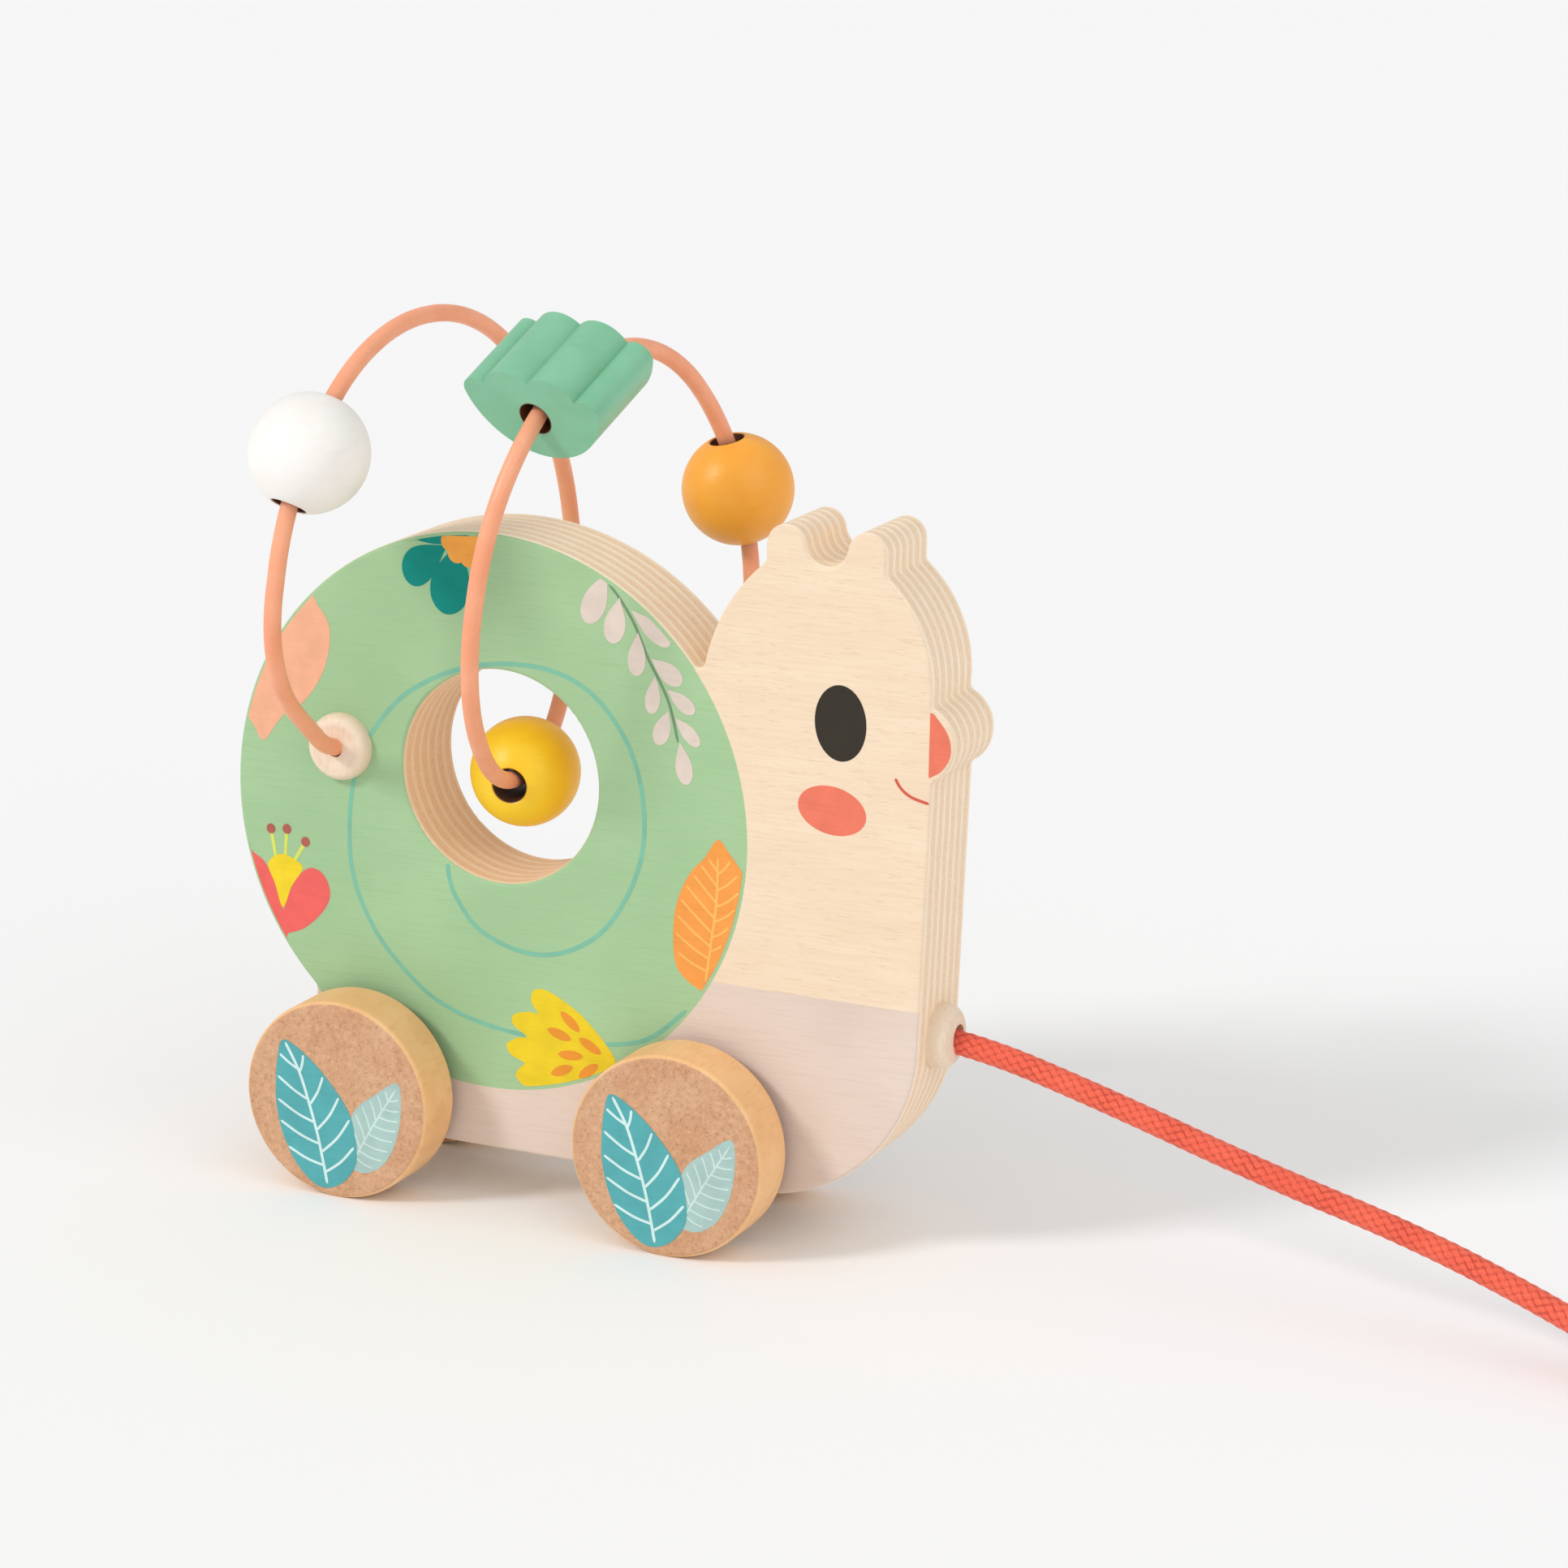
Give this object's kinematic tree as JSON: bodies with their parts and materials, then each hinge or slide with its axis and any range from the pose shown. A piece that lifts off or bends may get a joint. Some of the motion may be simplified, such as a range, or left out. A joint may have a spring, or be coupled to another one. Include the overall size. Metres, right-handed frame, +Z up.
{
  "type": "pull-along toy",
  "caption": "Wooden pull-along snail with a looping wire, sliding beads, printed shell and a braided pull cord.",
  "frame": {"origin": "on the floor under the middle of the plate, halfway between the back of the shell and the tip of the nose", "axes": "+X to the snail's nose, +Z up, +Y to the snail's left, along the wheel axles"},
  "size_m": [0.3877, 0.0967, 0.1859],
  "materials": {
    "plywood": "sawn birch plywood, clear matt lacquer, printed in parts",
    "wheel_wood": "turned fibre-speckled wood, printed face",
    "turned_wood": "turned pale wood, clear matt lacquer",
    "dowel_wood": "bare beech dowel",
    "wire_coating": "salmon plastic coating over steel wire",
    "white_paint": "satin water-based paint",
    "yellow_paint": "satin water-based paint",
    "orange_paint": "satin water-based paint",
    "green_paint": "satin water-based paint",
    "washer_plastic": "natural nylon",
    "cord_braid": "round braided polyester cord",
    "tie_paper": "flat white tie"
  },
  "bodies": {
    "snail": {"snail_body": "plywood", "looping_wire": "wire_coating", "near_wire_boss": "turned_wood", "far_wire_boss": "turned_wood", "cord_boss": "turned_wood", "anchor_knot": "cord_braid", "pull_cord": "cord_braid", "cord_coil": "cord_braid", "cord_tail": "cord_braid", "cord_tie": "tie_paper", "end_knot": "cord_braid"},
    "front_wheels": {"front_axle": "dowel_wood", "front_left_wheel": "wheel_wood", "front_right_wheel": "wheel_wood", "front_left_washer": "washer_plastic", "front_right_washer": "washer_plastic"},
    "rear_wheels": {"rear_axle": "dowel_wood", "rear_left_wheel": "wheel_wood", "rear_right_wheel": "wheel_wood", "rear_left_washer": "washer_plastic", "rear_right_washer": "washer_plastic"},
    "white_bead": {"white_bead": "white_paint"},
    "yellow_bead": {"yellow_bead": "yellow_paint"},
    "green_bead": {"green_bead": "green_paint"},
    "orange_bead": {"orange_bead": "orange_paint"}
  },
  "joints": [
    {"name": "front_axle_spin", "type": "hinge", "parent": "snail", "child": "front_wheels", "pos_m": [0.02635, 0, 0.021], "axis": [0, 1, 0], "continuous": true},
    {"name": "rear_axle_spin", "type": "hinge", "parent": "snail", "child": "rear_wheels", "pos_m": [-0.04865, 0, 0.021], "axis": [0, 1, 0], "continuous": true},
    {"name": "white_bead_slide", "type": "hinge", "parent": "snail", "child": "white_bead", "pos_m": [-0.04652, 0.00681, 0.13373], "axis": [-0.9894, 0.0832, 0.1188], "range_deg": [-24, 24]},
    {"name": "yellow_bead_slide", "type": "hinge", "parent": "snail", "child": "yellow_bead", "pos_m": [-0.01929, 0.00043, 0.12585], "axis": [-0.9867, -0.1626, -0.0044], "range_deg": [-26, 26]},
    {"name": "green_bead_slide", "type": "hinge", "parent": "snail", "child": "green_bead", "pos_m": [-0.00049, 0.00093, 0.13814], "axis": [-0.9864, 0.1498, 0.0678], "range_deg": [-24, 24]},
    {"name": "orange_bead_slide", "type": "hinge", "parent": "snail", "child": "orange_bead", "pos_m": [0.01092, -0.00965, 0.13376], "axis": [-0.9879, 0.0376, -0.1506], "range_deg": [-24, 24]}
  ]
}
